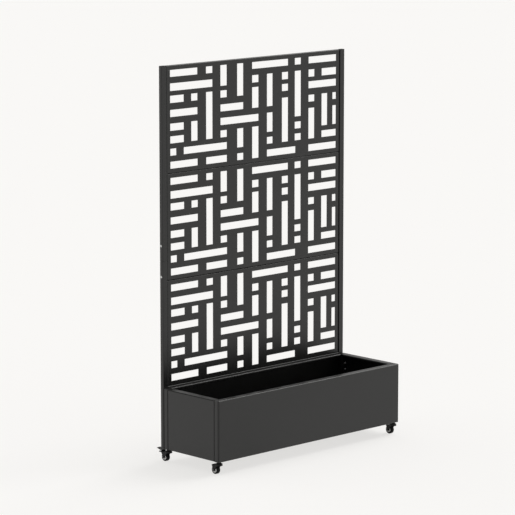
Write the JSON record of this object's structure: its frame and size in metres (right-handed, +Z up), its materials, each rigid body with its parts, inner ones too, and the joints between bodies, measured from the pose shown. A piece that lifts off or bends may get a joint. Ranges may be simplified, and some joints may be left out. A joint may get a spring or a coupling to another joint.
{
  "type": "planter room divider",
  "caption": "Dark steel planter box on swivel casters with a tall slotted privacy screen on two posts behind it; the rear casters have brake pedals.",
  "frame": {"origin": "on the floor, under the middle of the whole footprint with the brake pedals", "axes": "+X to the right seen from the planter's front, +Y to the back where the screen stands, +Z up"},
  "size_m": [1.204, 0.4354, 1.86],
  "materials": {
    "powder_coat": "satin",
    "black_plastic": "matte",
    "zinc": "zinc plated",
    "caster_steel": "satin",
    "tyre": "matte",
    "hub_plastic": "matte"
  },
  "bodies": {
    "divider": {"front_panel": "powder_coat", "rear_panel": "powder_coat", "left_side_panel": "powder_coat", "right_side_panel": "powder_coat", "left_side_rim": "powder_coat", "right_side_rim": "powder_coat", "floor_tray": "powder_coat", "floor_crossbars": "powder_coat", "front_left_leg": "powder_coat", "front_right_leg": "powder_coat", "rear_left_leg": "powder_coat", "rear_right_leg": "powder_coat", "left_post_lower": "powder_coat", "left_post_upper": "powder_coat", "right_post_lower": "powder_coat", "right_post_upper": "powder_coat", "left_splice_sleeve": "powder_coat", "right_splice_sleeve": "powder_coat", "screen_panel_top": "powder_coat", "screen_panel_middle": "powder_coat", "screen_panel_bottom": "powder_coat", "bottom_rail": "powder_coat", "leg_foot_plugs": "black_plastic", "post_caps": "black_plastic", "side_panel_screws": "zinc", "side_panel_nuts": "zinc", "splice_bolts": "zinc", "splice_nuts": "zinc", "screen_screws": "zinc", "post_bolts": "zinc", "post_nuts": "zinc", "front_left_caster_stem": "caster_steel", "front_right_caster_stem": "caster_steel", "rear_left_caster_stem": "caster_steel", "rear_right_caster_stem": "caster_steel"},
    "front_left_swivel": {"front_left_caster_fork": "caster_steel", "front_left_caster_axle": "caster_steel"},
    "front_left_wheel": {"front_left_caster_tyre": "tyre", "front_left_caster_hub": "hub_plastic"},
    "front_right_swivel": {"front_right_caster_fork": "caster_steel", "front_right_caster_axle": "caster_steel"},
    "front_right_wheel": {"front_right_caster_tyre": "tyre", "front_right_caster_hub": "hub_plastic"},
    "rear_left_swivel": {"rear_left_caster_fork": "caster_steel", "rear_left_caster_axle": "caster_steel", "rear_left_brake_pin": "zinc"},
    "rear_left_wheel": {"rear_left_caster_tyre": "tyre", "rear_left_caster_hub": "hub_plastic"},
    "rear_left_pedal": {"rear_left_brake_pedal": "caster_steel"},
    "rear_right_swivel": {"rear_right_caster_fork": "caster_steel", "rear_right_caster_axle": "caster_steel", "rear_right_brake_pin": "zinc"},
    "rear_right_wheel": {"rear_right_caster_tyre": "tyre", "rear_right_caster_hub": "hub_plastic"},
    "rear_right_pedal": {"rear_right_brake_pedal": "caster_steel"}
  },
  "joints": [
    {"name": "front_left_swivel_turn", "type": "hinge", "parent": "divider", "child": "front_left_swivel", "pos_m": [-0.5825, -0.19775, 0.045], "axis": [0, 0, 1], "continuous": true},
    {"name": "front_left_wheel_spin", "type": "hinge", "parent": "front_left_swivel", "child": "front_left_wheel", "pos_m": [-0.5825, -0.17775, 0.02], "axis": [1, 0, 0], "continuous": true},
    {"name": "front_right_swivel_turn", "type": "hinge", "parent": "divider", "child": "front_right_swivel", "pos_m": [0.5825, -0.19775, 0.045], "axis": [0, 0, 1], "continuous": true},
    {"name": "front_right_wheel_spin", "type": "hinge", "parent": "front_right_swivel", "child": "front_right_wheel", "pos_m": [0.5825, -0.17775, 0.02], "axis": [1, 0, 0], "continuous": true},
    {"name": "rear_left_swivel_turn", "type": "hinge", "parent": "divider", "child": "rear_left_swivel", "pos_m": [-0.5825, 0.14675, 0.045], "axis": [0, 0, 1], "continuous": true},
    {"name": "rear_left_wheel_spin", "type": "hinge", "parent": "rear_left_swivel", "child": "rear_left_wheel", "pos_m": [-0.5825, 0.16675, 0.02], "axis": [1, 0, 0], "continuous": true},
    {"name": "rear_left_brake_press", "type": "hinge", "parent": "rear_left_swivel", "child": "rear_left_pedal", "pos_m": [-0.5825, 0.18675, 0.0495], "axis": [1, 0, 0], "range_deg": [-12, 0]},
    {"name": "rear_right_swivel_turn", "type": "hinge", "parent": "divider", "child": "rear_right_swivel", "pos_m": [0.5825, 0.14675, 0.045], "axis": [0, 0, 1], "continuous": true},
    {"name": "rear_right_wheel_spin", "type": "hinge", "parent": "rear_right_swivel", "child": "rear_right_wheel", "pos_m": [0.5825, 0.16675, 0.02], "axis": [1, 0, 0], "continuous": true},
    {"name": "rear_right_brake_press", "type": "hinge", "parent": "rear_right_swivel", "child": "rear_right_pedal", "pos_m": [0.5825, 0.18675, 0.0495], "axis": [1, 0, 0], "range_deg": [-12, 0]}
  ]
}
